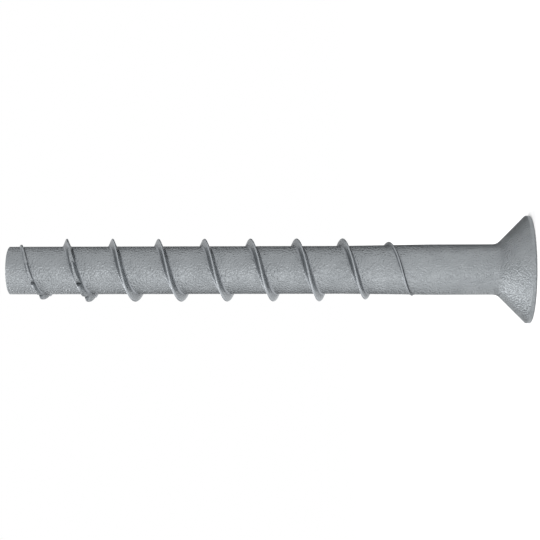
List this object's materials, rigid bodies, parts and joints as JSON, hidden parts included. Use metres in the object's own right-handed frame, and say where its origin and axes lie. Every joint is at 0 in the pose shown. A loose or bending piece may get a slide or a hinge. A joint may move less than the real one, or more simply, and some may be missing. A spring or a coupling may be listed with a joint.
{
  "type": "concrete screw",
  "caption": "Countersunk concrete screw: coarse right-hand thread with saw-toothed first turns, plain flat tip, shank under the head, and a six-lobe recess.",
  "frame": {"origin": "middle of the flat face of the head, where the screw stands on its head", "axes": "+Z along the screw's axis from the head to the tip; +X towards the side of the screw that is uppermost in the picture; the camera looks along +Y"},
  "size_m": [0.0206, 0.0206, 0.1],
  "materials": {
    "zinc_coat": "matt zinc coating with a fine dimpled texture"
  },
  "bodies": {
    "root": {"concrete_screw": "zinc_coat"}
  },
  "joints": []
}
